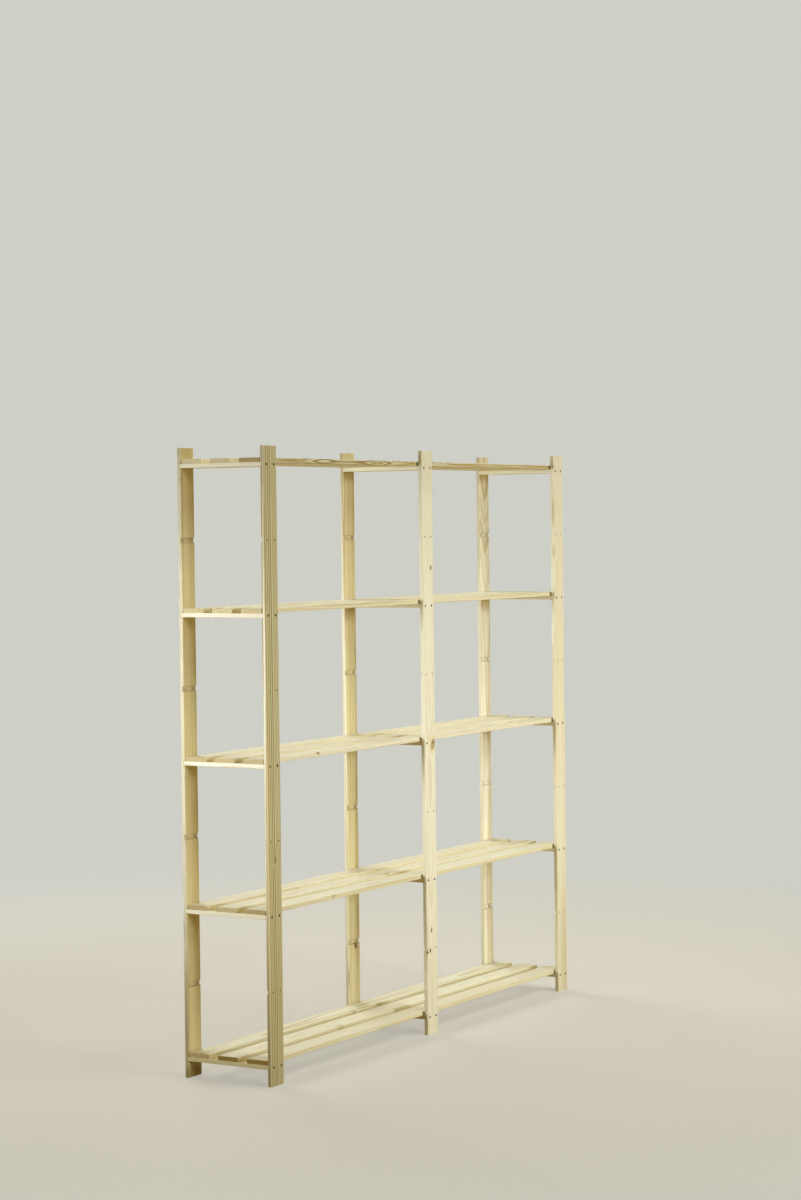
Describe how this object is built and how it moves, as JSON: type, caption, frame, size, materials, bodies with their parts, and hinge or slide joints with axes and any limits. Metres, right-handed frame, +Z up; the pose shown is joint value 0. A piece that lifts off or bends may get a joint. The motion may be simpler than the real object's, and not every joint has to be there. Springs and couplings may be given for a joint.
{
  "type": "shelving unit",
  "caption": "Free-standing open shelving unit of planed pine boards: flat posts front and rear, housed cross bearers and spaced full-length slats, held with dark countersunk screws.",
  "frame": {"origin": "on the floor, under the middle of the unit", "axes": "+X along the shelves, +Y from front to back, +Z up"},
  "size_m": [1.7, 0.28, 1.7],
  "materials": {
    "post_wood": "planed untreated pine, eased edges",
    "bearer_wood": "planed untreated pine, eased edges",
    "slat_wood": "planed untreated pine, eased edges",
    "screw_steel": "black phosphate"
  },
  "bodies": {
    "root": {"post_front_left": "post_wood", "post_front_middle": "post_wood", "post_front_right": "post_wood", "post_rear_left": "post_wood", "post_rear_middle": "post_wood", "post_rear_right": "post_wood", "bearer_1_left": "bearer_wood", "bearer_1_middle": "bearer_wood", "bearer_1_right": "bearer_wood", "slat_1_front": "slat_wood", "slat_1_middle": "slat_wood", "slat_1_rear": "slat_wood", "bearer_2_left": "bearer_wood", "bearer_2_middle": "bearer_wood", "bearer_2_right": "bearer_wood", "slat_2_front": "slat_wood", "slat_2_middle": "slat_wood", "slat_2_rear": "slat_wood", "bearer_3_left": "bearer_wood", "bearer_3_middle": "bearer_wood", "bearer_3_right": "bearer_wood", "slat_3_front": "slat_wood", "slat_3_middle": "slat_wood", "slat_3_rear": "slat_wood", "bearer_4_left": "bearer_wood", "bearer_4_middle": "bearer_wood", "bearer_4_right": "bearer_wood", "slat_4_front": "slat_wood", "slat_4_middle": "slat_wood", "slat_4_rear": "slat_wood", "bearer_5_left": "bearer_wood", "bearer_5_middle": "bearer_wood", "bearer_5_right": "bearer_wood", "slat_5_front": "slat_wood", "slat_5_middle": "slat_wood", "slat_5_rear": "slat_wood", "post_screws_front_1": "screw_steel", "post_screws_front_2": "screw_steel", "post_screws_front_3": "screw_steel", "post_screws_front_4": "screw_steel", "post_screws_front_5": "screw_steel", "post_screws_rear_1": "screw_steel", "post_screws_rear_2": "screw_steel", "post_screws_rear_3": "screw_steel", "post_screws_rear_4": "screw_steel", "post_screws_rear_5": "screw_steel", "slat_screws_1": "screw_steel", "slat_screws_2": "screw_steel", "slat_screws_3": "screw_steel", "slat_screws_4": "screw_steel", "slat_screws_5": "screw_steel"}
  },
  "joints": []
}
